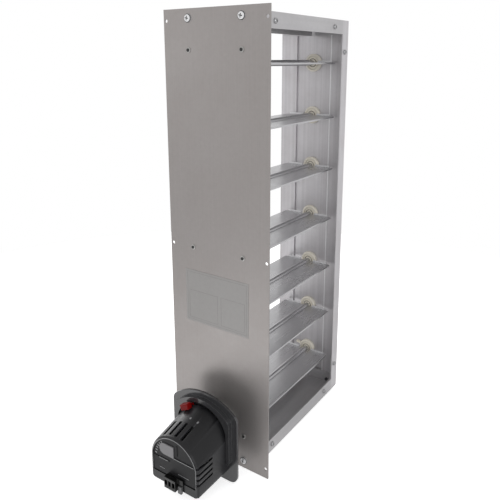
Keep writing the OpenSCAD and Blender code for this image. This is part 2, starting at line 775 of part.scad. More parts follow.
module idler_gear() color("white") at_drive() translate([idler_x, 0, idler_z]) difference() {
    union() {
        slab(gear_f - seat, gear2_f) gear_outline(output_module, idler_small_teeth, idler_deg + 180 + 180 / idler_small_teeth);
        slab(gear2_f, gear2_f + gear_t) gear_outline(motor_module, idler_large_teeth, motor_deg);
    }
    pin(axle_d + 2 * run, flange_f, motor_f);
}
module motor_pinion() color("gold") at_drive() translate([motor_x, 0, motor_z]) {
    slab(gear2_f - seat, gear2_f + gear_t + seat)
        gear_outline(motor_module, pinion_teeth, motor_deg + 180 + 180 / pinion_teeth);
    pin(motor_shaft_d, gear2_f + gear_t + seat, motor_f + motor_l / 2);
}
module motor() color("gray") at_drive() translate([motor_x, 0, motor_z]) difference() {
    union() {
        pin(motor_d, motor_f, motor_f + motor_l);
        pin(motor_neck_d, plate_f, motor_f);
        for (a = [0, 180]) rotate([0, a + motor_ear_deg, 0]) {
            translate([motor_ear_r, 0, 0]) pin(motor_ear_d, motor_f, motor_f + motor_ear_t);
        }
    }
    pin(motor_shaft_d + 2 * run, plate_f - over, motor_f + motor_l / 2 + over);
    for (a = [0, 180]) rotate([0, a + motor_ear_deg, 0]) translate([motor_ear_r, 0, 0])
        pin(screw_d + 2 * slip, motor_f - over, motor_f + motor_ear_t + over);
}
motor_ear_deg = 20;
motor_ear_step = 3.2;
motor_ear_r = motor_d / 2 + motor_ear_step;
motor_ear_d = 8;
motor_ear_t = 1.5;
module motor_screws() color("silver") at_drive() translate([motor_x, 0, motor_z])
    for (a = [0, 180]) rotate([0, a + motor_ear_deg, 0]) translate([motor_ear_r, 0, 0])
        pin(small_head_d, motor_f + motor_ear_t, motor_f + motor_ear_t + small_head_h);

module circuit_board() color("seagreen") at_drive() slab(board_f, board_f + board_t)
    polygon(arch(body_w / 2 - body_wall - board_side, -body_foot + body_wall + board_lift, board_top,
        body_w / 2 + board_bulge, body_corner_r, panel_foot_r));
board_side = 3;
board_lift = 2;
board_top = 4;
board_bulge = 20;

// Release lever: a ring on the hub, a flat arm, and the red thumb piece
lever_arm_w = 7;
lever_ring_d = 22;
body_gap = 0.3;
knob_gap = 3;
knob_f = rim_f + knob_gap;
knob_in = body_top - (body_top - nose_top) * (knob_f - flange_f) / body_l + body_gap;
knob_h = 7.8;
knob_out = knob_in + knob_h;
knob_w = 14.2;
knob_l = 8;
lever_in = knob_in + lever_t;
lever_reach = knob_out - knob_h / 2;
module release_lever() color("firebrick") at_drive() rotate([0, -lever_deg, 0]) difference() {
    union() {
        pin(lever_ring_d, lever_f, lever_f + lever_t);
        box(-lever_arm_w / 2, lever_arm_w / 2, -lever_f - lever_t, -lever_f, 0, lever_reach);
        box(-lever_arm_w / 2, lever_arm_w / 2, -knob_f - over, -lever_f, lever_in, lever_reach);
        box(-knob_w / 2, knob_w / 2, -knob_f - knob_l, -knob_f, knob_in, knob_out);
    }
    pin(hub_d + 2 * run, lever_f - over, lever_f + lever_t + over);
}

// Body of the actuator: a tapered arch, hollow, with vents and a panel opening
module body_solid(inset, f0, f1) hull() {
    slab(f0, f0 + edge) body_outline(body_top, inset);
    slab(f1 - bevel - edge, f1 - bevel) body_outline(nose_top, inset);
    slab(f1 - edge, f1) body_outline_front(inset + bevel);
}
edge = 0.1;
module body_outline_front(inset) {
    polygon(arch(body_w / 2 - inset, -body_foot + inset - bevel, nose_top - inset, body_w / 2 + body_bulge - inset,
        body_corner_r, body_corner_r));
}
module actuator_cover() color([0.23, 0.23, 0.24]) at_drive() difference() {
    union() {
        difference() {
            body_solid(0, flange_f, nose_f);
            body_solid(body_wall, flange_f - over, nose_f - panel_recess - panel_t - panel_ledge);
        }
        intersection() {
            body_solid(edge, flange_f, nose_f);
            for (p = boss_xz) translate([p[0], 0, p[1]]) pin(boss_od, flange_f, flange_f + boss_l);
        }
    }
    slab(panel_f - panel_t, nose_f + over) panel_outline(0);
    slab(panel_f - panel_t - panel_ledge - over, nose_f) panel_outline(panel_ledge);
    for (p = boss_xz) translate([p[0], 0, p[1]])
        pin(screw_d - 2 * slip, flange_f - over, flange_f + boss_l - 2 * over);
    lever_notch();
    vents();
}
boss_l = 12;
notch_w = 52;
notch_rise = 8;
module lever_notch() {
    box(-notch_w / 2, notch_w / 2, -lever_f - lever_t - seat * 2, -flange_f + over, body_top / 2 + notch_rise, body_top + over);
}
vent_x0 = -19.5;
vent_dx = 9.7;
vent_nose = 4.6;
vent_f = nose_f - vent_nose;
vent_top_w = 4.2;
vent_depth = 20;
side_z0 = -22.6;
side_dz = 7.5;
side_extra = 6;
module vents() {
    for (i = [0:vent_n - 1]) {
        translate([vent_x0 + i * vent_dx, 0, 0])
            box(-vent_top_w / 2, vent_top_w / 2, -vent_f, vent_l - vent_f, nose_top - vent_depth, body_top);
        translate([0, 0, side_z0 + i * side_dz])
            box(body_w / 2 - bevel * 1.6, body_w / 2 + over, -nose_f - over, vent_l + side_extra - nose_f,
                -vent_w / 2, vent_w / 2);
    }
}
module cover_screws() color("silver") at_drive()
    for (p = boss_xz) translate([p[0], 0, p[1]]) {
        pin(screw_d - 3 * slip, standoff, flange_f + boss_l - 3 * over);
        pin(small_head_d, standoff - small_head_h, standoff);
    }
module front_panel() color([0.2, 0.2, 0.21]) at_drive() difference() {
    union() {
        slab(panel_f - panel_t, panel_f) panel_outline(slip);
        slab(panel_f, panel_f + step_t) intersection() {
            panel_outline(slip);
            panel_step();
        }
        slab(panel_f, panel_f + step_t) translate([rib_x, rib_z]) square([rib_w, rib_h]);
    }
    slab(panel_f - panel_t - over, panel_f + over) offset_cap(slip);
    slab(panel_f - panel_t - over, panel_f + over) translate([block_x + tail_gap, tail_z - slip])
        square([block_w - 2 * tail_gap, tail_h + 2 * slip]);
}
step_t = 0.7;
step_left = -8;
step_right = 0;
step_x = -7;
step_run = 4;
rib_x = 4.2;
rib_z = 5;
rib_w = 1.5;
rib_h = 14;
// Lower raised field of the panel, stepped beside the cap
module panel_step() {
    polygon([[-body_w, step_left], [step_x, step_left], [step_x + step_run, step_right],
        [body_w, step_right], [body_w, panel_foot + block_top], [-body_w, panel_foot + block_top]]);
}
cap_x = -12;
cap_z = 7.4;
cap_w = 24;
cap_h = 16;
cap_t = 1.4;
module offset_cap(gap) {
    translate([cap_x, cap_z]) {
        translate([-cap_w / 2 + cap_h / 2, 0]) circle(d = cap_h + 2 * gap);
        translate([-cap_w / 2 + cap_h / 2, -cap_h / 2 - gap]) square([cap_w - cap_h / 2 + gap, cap_h + 2 * gap]);
    }
}
module front_cap() color("darkgray") at_drive() slab(panel_f - panel_t, panel_f + cap_t) offset_cap(0);
block_x = -11;
block_w = 18.5;
block_foot = -41.6;
block_top = 2;
block_h = 15.5;
block_l = 7;
tail_gap = 3;
wing_x = 16.5;
wing_z = -31.5;
wing_h = 7;
wing_t = 2.5;
tail_z = panel_foot + panel_ledge + seat;
tail_h = 2;
module terminal_block() color([0.05, 0.05, 0.05]) at_drive() difference() {
    union() {
        box(block_x, block_x + block_w, -nose_f - block_l, -nose_f, block_foot, block_foot + block_h);
        box(block_x + tail_gap + slip, block_x + block_w - tail_gap - slip, -nose_f - over, -board_f - board_t,
            tail_z, tail_z + tail_h);
        box(block_x + block_w - over, wing_x, -nose_f - wing_t, -nose_f, wing_z, wing_z + wing_h);
        box(block_x + block_w - over, wing_x, -nose_f - over, -panel_f - step_t, panel_foot + seat, wing_z + wing_h);
    }
    for (i = [0:2]) translate([block_x + block_w * (i + 0.5) / 3, 0, 0])
        box(-block_w / 9, block_w / 9, -nose_f - block_l - over, -nose_f - block_l / 2,
            block_foot + block_h * 0.3, block_foot + block_h * 0.75);
}
latch_x = 8.6;
latch_w = 6;
latch_z = -44.4;
latch_h = 10.5;
latch_t = 3.5;
module connector_latch() color("gray") at_drive()
    box(latch_x, latch_x + latch_w, -nose_f - latch_t, -nose_f, latch_z, latch_z + latch_h);

face_plate();
near_channel();
far_channel();
top_rail();
bottom_rail();
corner_brackets();
corner_screws();
rail_screws();
plate_rivets();
far_rivets();
near_bushings();
far_bushings();
top_stop();
bottom_stop();
rating_label();
mounting_plate();
mounting_plate_screws();
base_screws();
actuator_base();
return_spring();
gear_plate();
gear_plate_screws();
idler_axle();
actuator_cover();
cover_screws();
front_panel();
front_cap();
terminal_block();
connector_latch();
circuit_board();
motor();
motor_screws();
for (i = [0:blade_n - 1]) {
    at_blade(i) blade();
    at_blade(i) shaft(i);
    at_blade(i) crank();
}
linkage_bar();
output_hub();
output_gear();
idler_gear();
motor_pinion();
release_lever();
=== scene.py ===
"""Looks for a motorized duct damper: sheet metal, moulded plastic, small printed marks and the studio."""

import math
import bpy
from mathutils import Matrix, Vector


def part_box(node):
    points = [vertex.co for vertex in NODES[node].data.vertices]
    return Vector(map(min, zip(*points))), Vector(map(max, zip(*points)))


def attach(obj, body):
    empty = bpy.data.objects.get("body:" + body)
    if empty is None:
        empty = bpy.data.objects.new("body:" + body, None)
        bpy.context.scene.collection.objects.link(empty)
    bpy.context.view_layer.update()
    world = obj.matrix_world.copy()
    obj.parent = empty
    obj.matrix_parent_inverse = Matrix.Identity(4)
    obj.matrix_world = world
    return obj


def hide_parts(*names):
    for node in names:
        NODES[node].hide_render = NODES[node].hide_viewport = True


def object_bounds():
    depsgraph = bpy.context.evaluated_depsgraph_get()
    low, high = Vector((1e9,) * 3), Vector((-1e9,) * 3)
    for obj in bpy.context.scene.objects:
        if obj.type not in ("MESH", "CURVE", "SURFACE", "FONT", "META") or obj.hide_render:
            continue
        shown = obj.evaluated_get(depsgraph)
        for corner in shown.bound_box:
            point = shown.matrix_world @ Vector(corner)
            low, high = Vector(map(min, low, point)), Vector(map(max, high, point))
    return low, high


bl_info = {
    "name": "Motorized duct damper looks",
    "version": (1, 0, 0),
    "blender": (4, 5, 0),
    "location": "3D View > Sidebar > Damper",
    "description": "Finishes the sheet metal frame, blades and actuator of a duct damper",
    "category": "Object",
}

import bmesh
import bpy
from mathutils import Matrix, Vector

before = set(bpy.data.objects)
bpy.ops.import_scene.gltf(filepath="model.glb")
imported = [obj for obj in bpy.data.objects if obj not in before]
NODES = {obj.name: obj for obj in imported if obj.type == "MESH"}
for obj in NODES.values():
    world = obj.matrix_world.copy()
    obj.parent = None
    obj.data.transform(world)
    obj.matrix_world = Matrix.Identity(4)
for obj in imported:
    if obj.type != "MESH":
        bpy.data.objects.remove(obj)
CAD_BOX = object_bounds()
MM = 0.001

# Where the label and the actuator's front lie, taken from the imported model
LABEL_LOW, LABEL_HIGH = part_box("rating_label")
COVER_LOW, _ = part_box("actuator_cover")
PANEL_LOW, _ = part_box("front_panel")
HUB_LOW, HUB_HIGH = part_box("output_hub")
DRIVE_Z = (HUB_LOW.z + HUB_HIGH.z) / 2

# Sizes of the sheet metal that no node's box gives
PLATE_T = 1.6 * MM
SCREW_X, SCREW_RADIUS, RIVET_RADIUS = 40.4 * MM, 5.4 * MM, 3.25 * MM
STRIP_HALF, FAR_WEB = 30 * MM, 246.9 * MM
BUSHING_RADIUS, BUSHING_FACE = 13.5 * MM, 245.9 * MM

# A blade's turned-up end: from and to, out from the shaft, its thickness and its middle above the blade's
LIP_IN, LIP_OUT, LIP_WALL, LIP_TOP = 11.8 * MM, 36.35 * MM, 1.2 * MM, 2.1 * MM

# How far the front panel's upper field lies behind its lower one
PANEL_STEP = 0.7 * MM

# The photograph's camera: its place, its turn and tilt in radians, and its shift
CAMERA_SPOT = (0.4313, -0.5490, 0.2438)
CAMERA_YAW, CAMERA_PITCH = 0.5976, 0.2272
CAMERA_SHIFT = (-0.0096, -0.1196)

# Shader groups and materials by name, filled in by the first operator
GROUPS = {}
MATS = {}


class DamperMetal(bpy.types.PropertyGroup):
    """Finish of the sheet metal and hardware"""

    plate_color: bpy.props.FloatVectorProperty(
        name="Plate", description="Colour of the brushed face plate",
        subtype="COLOR", size=3, min=0, max=1, default=(0.303, 0.285, 0.280))
    frame_color: bpy.props.FloatVectorProperty(
        name="Frame", description="Colour of the folded frame",
        subtype="COLOR", size=3, min=0, max=1, default=(0.480, 0.471, 0.480))
    blade_color: bpy.props.FloatVectorProperty(
        name="Blades", description="Colour of the blades",
        subtype="COLOR", size=3, min=0, max=1, default=(0.490, 0.487, 0.498))
    zinc_color: bpy.props.FloatVectorProperty(
        name="Zinc", description="Colour of plated screws, shafts and cranks",
        subtype="COLOR", size=3, min=0, max=1, default=(0.42, 0.42, 0.41))
    brush_scale: bpy.props.FloatProperty(
        name="Brush lines", description="How fine the brushing on the sheets is, in lines per metre",
        min=200, max=4000, default=1400)


class DamperPlastic(bpy.types.PropertyGroup):
    """Finish of the moulded pieces"""

    cover_color: bpy.props.FloatVectorProperty(
        name="Cover", description="Colour of the actuator's cover",
        subtype="COLOR", size=3, min=0, max=1, default=(0.010, 0.010, 0.011))
    base_color: bpy.props.FloatVectorProperty(
        name="Base", description="Colour of the actuator's base",
        subtype="COLOR", size=3, min=0, max=1, default=(0.030, 0.030, 0.032))
    lever_color: bpy.props.FloatVectorProperty(
        name="Lever", description="Colour of the release lever",
        subtype="COLOR", size=3, min=0, max=1, default=(0.17, 0.002, 0.002))
    cap_color: bpy.props.FloatVectorProperty(
        name="Cap", description="Colour of the cap on the front panel",
        subtype="COLOR", size=3, min=0, max=1, default=(0.15, 0.146, 0.152))
    nylon_color: bpy.props.FloatVectorProperty(
        name="Nylon", description="Colour of the blade bushings",
        subtype="COLOR", size=3, min=0, max=1, default=(0.74, 0.70, 0.61))
    grain_scale: bpy.props.FloatProperty(
        name="Grain", description="How fine the moulded grain is, in cells per metre",
        min=500, max=6000, default=2600)


class DamperMarks(bpy.types.PropertyGroup):
    """Printed and moulded marks"""

    line_width: bpy.props.FloatProperty(
        name="Line width", description="Width of the lines on the front panel",
        subtype="DISTANCE", unit="LENGTH", min=0.0002, max=0.002, default=0.0006)
    tick_count: bpy.props.IntProperty(
        name="Ticks", description="Ticks of the scale beside the cap", min=3, max=12, default=6)
    label_margin: bpy.props.FloatProperty(
        name="Label margin", description="Bare edge round the fields of the label",
        subtype="DISTANCE", unit="LENGTH", min=0.001, max=0.01, default=0.003)
    bead_radius: bpy.props.FloatProperty(
        name="Bead", description="Radius of the bead round the front panel",
        subtype="DISTANCE", unit="LENGTH", min=0.0002, max=0.001, default=0.00045)
    nub_radius: bpy.props.FloatProperty(
        name="Nubs", description="Radius of the small nubs on the cover",
        subtype="DISTANCE", unit="LENGTH", min=0.0005, max=0.003, default=0.0013)


class DamperStudio(bpy.types.PropertyGroup):
    """Lights and camera"""

    key_power: bpy.props.FloatProperty(
        name="Key", description="Power of the soft light in front, to the left",
        subtype="POWER", min=0, default=1.3)
    side_power: bpy.props.FloatProperty(
        name="Side", description="Power of the light to the right", subtype="POWER", min=0, default=7.0)
    back_power: bpy.props.FloatProperty(
        name="Back", description="Power of the light behind, to the left",
        subtype="POWER", min=0, default=6.0)
    top_power: bpy.props.FloatProperty(
        name="Top", description="Power of the light overhead", subtype="POWER", min=0, default=0.7)
    ambient: bpy.props.FloatProperty(
        name="Ambient", description="Strength of the even light from all round", min=0, max=2, default=0.66)
    table_near: bpy.props.FloatProperty(
        name="Table near", description="Glow of the table round the object, as metal mirrors it",
        min=0, max=2, default=1.6)
    table_far: bpy.props.FloatProperty(
        name="Table far", description="Glow of the table away from the object, as metal mirrors it",
        min=0, max=3, default=0.20)
    lens: bpy.props.FloatProperty(
        name="Lens", description="Focal length of the camera, in millimetres", min=10, max=200, default=40.58)


# Shader nodes

def new_group(name, inputs, outputs):
    """An empty shader group with its sockets, and its input and output nodes."""
    tree = bpy.data.node_groups.new(name, "ShaderNodeTree")
    for label, kind, value in inputs:
        tree.interface.new_socket(name=label, in_out="INPUT", socket_type=kind).default_value = value
    for label, kind in outputs:
        tree.interface.new_socket(name=label, in_out="OUTPUT", socket_type=kind)
    return tree, tree.nodes.new("NodeGroupInput"), tree.nodes.new("NodeGroupOutput")


def add(tree, kind, settings=(), **values):
    """A node of a kind, with its settings and the values of its inputs."""
    node = tree.nodes.new(kind)
    for key, value in dict(settings).items():
        setattr(node, key, value)
    for key, value in values.items():
        node.inputs[key.replace("_", " ")].default_value = value
    return node


def feed(tree, socket, value):
    """Links a socket to another, or sets it to a number or colour."""
    if isinstance(value, bpy.types.NodeSocket):
        tree.links.new(value, socket)
    else:
        socket.default_value = value


def noise(tree, vector, scale, detail, roughness):
    """A noise pattern on a vector; gives its value socket."""
    node = add(tree, "ShaderNodeTexNoise", Detail=detail, Roughness=roughness)
    feed(tree, node.inputs["Scale"], scale)
    feed(tree, node.inputs["Vector"], vector)
    return node.outputs["Fac"]


def calc(tree, op, a, b):
    """One step of arithmetic on sockets or numbers; gives the result's socket."""
    node = add(tree, "ShaderNodeMath", {"operation": op})
    feed(tree, node.inputs[0], a)
    feed(tree, node.inputs[1], b)
    return node.outputs[0]


def swing(tree, value, amount, base):
    """base plus a pattern's swing about its middle, times an amount."""
    return calc(tree, "ADD", calc(tree, "MULTIPLY", calc(tree, "SUBTRACT", value, 0.5), amount), base)


def blend_colors(tree, factor, a, b, mode="MIX"):
    """Mixes two colours by a factor; each may be a socket or a colour."""
    node = add(tree, "ShaderNodeMix", {"data_type": "RGBA", "blend_type": mode, "clamp_factor": True})
    for index, value in ((0, factor), (6, a), (7, b)):
        feed(tree, node.inputs[index], value)
    return node.outputs[2]


def shaded(tree, color, shade):
    """A colour made lighter or darker by a value round 1."""
    grey = tree.nodes.new("ShaderNodeCombineColor")
    for socket in grey.inputs[:3]:
        feed(tree, socket, shade)
    return blend_colors(tree, 1.0, color, grey.outputs[0], "MULTIPLY")


def ranged(tree, value, low, high, at_low, at_high, settings=()):
    """Maps a value's range to another; gives the result's socket."""
    node = add(tree, "ShaderNodeMapRange", settings)
    feed(tree, node.inputs["Value"], value)
    for key, limit in (("From Min", low), ("From Max", high), ("To Min", at_low), ("To Max", at_high)):
        node.inputs[key].default_value = limit
    return node.outputs[0]


GROUP_OUTPUTS = (("Color", "NodeSocketColor"), ("Roughness", "NodeSocketFloat"),
                 ("Height", "NodeSocketFloat"))


def rolled_sheet_group():
    """Rolled and brushed sheet: fine lines along it, soft stains and small scuffs."""
    tree, given, result = new_group("rolled_sheet", (
        ("Color", "NodeSocketColor", (0.5, 0.5, 0.5, 1)),
        ("Stain", "NodeSocketColor", (0.3, 0.3, 0.3, 1)),
        ("Stain Amount", "NodeSocketFloat", 0.4),
        ("Stain Scale", "NodeSocketFloat", 11.0),
        ("Lines", "NodeSocketVector", (1400, 1400, 12)),
        ("Line Amount", "NodeSocketFloat", 0.2),
        ("Roughness", "NodeSocketFloat", 0.4)), GROUP_OUTPUTS)
    place = tree.nodes.new("ShaderNodeTexCoord").outputs["Object"]
    along = add(tree, "ShaderNodeVectorMath", {"operation": "MULTIPLY"})
    feed(tree, along.inputs[0], place)
    feed(tree, along.inputs[1], given.outputs["Lines"])
    lines = noise(tree, along.outputs[0], scale=1.0, detail=3.0, roughness=0.6)
    stain = noise(tree, place, scale=given.outputs["Stain Scale"], detail=4.0, roughness=0.62)
    scuff = noise(tree, place, scale=190.0, detail=2.0, roughness=0.7)

    patch = calc(tree, "MULTIPLY", stain, given.outputs["Stain Amount"])
    toned = blend_colors(tree, patch, given.outputs["Color"], given.outputs["Stain"])
    shade = swing(tree, lines, given.outputs["Line Amount"], 1.0)
    shade = swing(tree, scuff, 0.10, shade)
    feed(tree, result.inputs["Color"], shaded(tree, toned, shade))

    rough = swing(tree, stain, 0.22, given.outputs["Roughness"])
    feed(tree, result.inputs["Roughness"], swing(tree, lines, 0.16, rough))
    feed(tree, result.inputs["Height"], calc(tree, "ADD", lines, calc(tree, "MULTIPLY", scuff, 0.4)))
    return tree


def moulded_group():
    """Moulded plastic: fine grain, faint flow shading, and paler edges that are partly wear and partly a
    painted highlight.
    """
    tree, given, result = new_group("moulded_plastic", (
        ("Color", "NodeSocketColor", (0.1, 0.1, 0.1, 1)),
        ("Worn And Sheen", "NodeSocketColor", (0.3, 0.3, 0.3, 1)),
        ("Wear And Sheen", "NodeSocketFloat", 0.5),
        ("Grain", "NodeSocketFloat", 2600.0),
        ("Roughness", "NodeSocketFloat", 0.45)), GROUP_OUTPUTS)
    place = tree.nodes.new("ShaderNodeTexCoord").outputs["Object"]
    cells = tree.nodes.new("ShaderNodeTexVoronoi")
    feed(tree, cells.inputs["Vector"], place)
    feed(tree, cells.inputs["Scale"], given.outputs["Grain"])
    flow = noise(tree, place, scale=34.0, detail=3.0, roughness=0.55)
    # Paler colour on sharp edges: partly wear, partly a painted highlight along ridges and rims
    edge = tree.nodes.new("ShaderNodeNewGeometry").outputs["Pointiness"]
    ridge = ranged(tree, edge, 0.60, 0.80, 0.0, 1.0)

    worn_and_sheen = calc(tree, "MULTIPLY", ridge, given.outputs["Wear And Sheen"])
    base = blend_colors(tree, worn_and_sheen, given.outputs["Color"], given.outputs["Worn And Sheen"])
    feed(tree, result.inputs["Color"], shaded(tree, base, swing(tree, flow, 0.30, 1.0)))
    feed(tree, result.inputs["Roughness"], swing(tree, flow, 0.14, given.outputs["Roughness"]))
    feed(tree, result.inputs["Height"], cells.outputs["Distance"])
    return tree


def rgba(color):
    """A colour with its opacity."""
    return (color[0], color[1], color[2], 1.0)


def tint(color, *shares):
    """A colour with each channel times its share."""
    return tuple(c * share for c, share in zip(color, shares))


def finish(name, group, values, relief, depth, **sockets):
    """A Principled material fed by a shader group; sockets are set on the shader itself."""
    mat = bpy.data.materials.new(name)
    mat.use_nodes = True
    tree = mat.node_tree
    shader = next(n for n in tree.nodes if n.type == "BSDF_PRINCIPLED")
    pattern = tree.nodes.new("ShaderNodeGroup")
    pattern.node_tree = GROUPS[group]
    for key, value in values.items():
        pattern.inputs[key].default_value = value
    for key, value in sockets.items():
        shader.inputs[key.replace("_", " ")].default_value = value
    bump = add(tree, "ShaderNodeBump", Strength=relief, Distance=depth)
    feed(tree, bump.inputs["Height"], pattern.outputs["Height"])
    feed(tree, shader.inputs["Base Color"], pattern.outputs["Color"])
    feed(tree, shader.inputs["Roughness"], pattern.outputs["Roughness"])
    feed(tree, shader.inputs["Normal"], bump.outputs["Normal"])
    return mat


# Pieces

def paint(mat, *names):
    """Puts a material on CAD nodes."""
    for name in names:
        data = NODES[name].data
        data.materials.clear()
        data.materials.append(MATS[mat])


def each(name):
    """The names of a kind of piece that every blade has."""
    return sorted(n for n in NODES if n.startswith(name + "_") and n[len(name) + 1:].isdigit())


def in_scene(name, data):
    """An object for a mesh, a lamp or a camera, put in the scene."""
    obj = bpy.data.objects.new(name, data)
    bpy.context.scene.collection.objects.link(obj)
    return obj


def piece(name, bm, mat, body):
    """A finished piece from a bmesh, riding on a body."""
    bmesh.ops.recalc_face_normals(bm, faces=bm.faces)
    data = bpy.data.meshes.new(name)
    bm.to_mesh(data)
    bm.free()
    data.materials.append(MATS[mat])
    obj = in_scene(name, data)
    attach(obj, body)
    return obj


def smooth(obj, corners=None):
    """Shades a piece's faces smooth, or only those with this many corners."""
    for poly in obj.data.polygons:
        poly.use_smooth = corners is None or len(poly.vertices) == corners


def edges_of(verts):
    """The edges at some vertices of a bmesh, each once and always in the same order."""
    return list(dict.fromkeys(e for v in verts for e in v.link_edges))


def bar(bm, centre, size, turn=0.0, ease=0.0):
    """A small bar with eased edges, turned about Y."""
    spot = Matrix.Translation(centre) @ Matrix.Rotation(turn, 4, "Y") @ Matrix.Diagonal((*size, 1))
    made = bmesh.ops.create_cube(bm, size=1.0, matrix=spot)
    if ease:
        bmesh.ops.bevel(bm, geom=edges_of(made["verts"]), offset=ease, offset_type="OFFSET", segments=2,
                        profile=0.5, affect="EDGES", material=-1)


def disc(bm, centre, radius, thick, segments):
    """A closed disc that faces along Y."""
    spot = Matrix.Translation(centre) @ Matrix.Rotation(math.pi / 2, 4, "X")
    bmesh.ops.create_cone(bm, segments=segments, cap_ends=True, radius1=radius, radius2=radius,
                          depth=thick, matrix=spot)


def ring(bm, middle, radius, thick, steps, around):
    """A round ring about an axis along Y, spun from a circle."""
    spot = Matrix.Translation(middle + Vector((radius, 0, 0)))
    made = bmesh.ops.create_circle(bm, radius=thick, segments=around, matrix=spot)
    bmesh.ops.spin(bm, geom=made["verts"] + edges_of(made["verts"]), cent=middle, axis=(0, 1, 0),
                   angle=2 * math.pi, steps=steps, use_merge=True, use_duplicate=False)


def eased_copy(node, mat, width, body):
    """A copy of a CAD node with rounded edges, shown in its place; its finish has its slot's name."""
    merge, flat, sharp = 2e-6, math.radians(1.5), math.radians(32)
    bm = bmesh.new()
    bm.from_mesh(NODES[node].data)
    bmesh.ops.remove_doubles(bm, verts=bm.verts, dist=merge)
    bmesh.ops.dissolve_limit(bm, angle_limit=flat, verts=bm.verts, edges=bm.edges)
    data = bpy.data.meshes.new(node + "_eased")
    bm.to_mesh(data)
    bm.free()
    data.materials.clear()
    data.materials.append(MATS[mat])
    obj = in_scene(node + "_eased", data)
    soft = obj.modifiers.new("eased edges", "BEVEL")
    soft.width = width
    soft.segments = 2
    soft.limit_method = "ANGLE"
    soft.angle_limit = sharp
    soft.miter_outer = "MITER_ARC"
    smooth(obj)
    data.set_sharp_from_angle(angle=sharp)
    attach(obj, body)
    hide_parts(node)


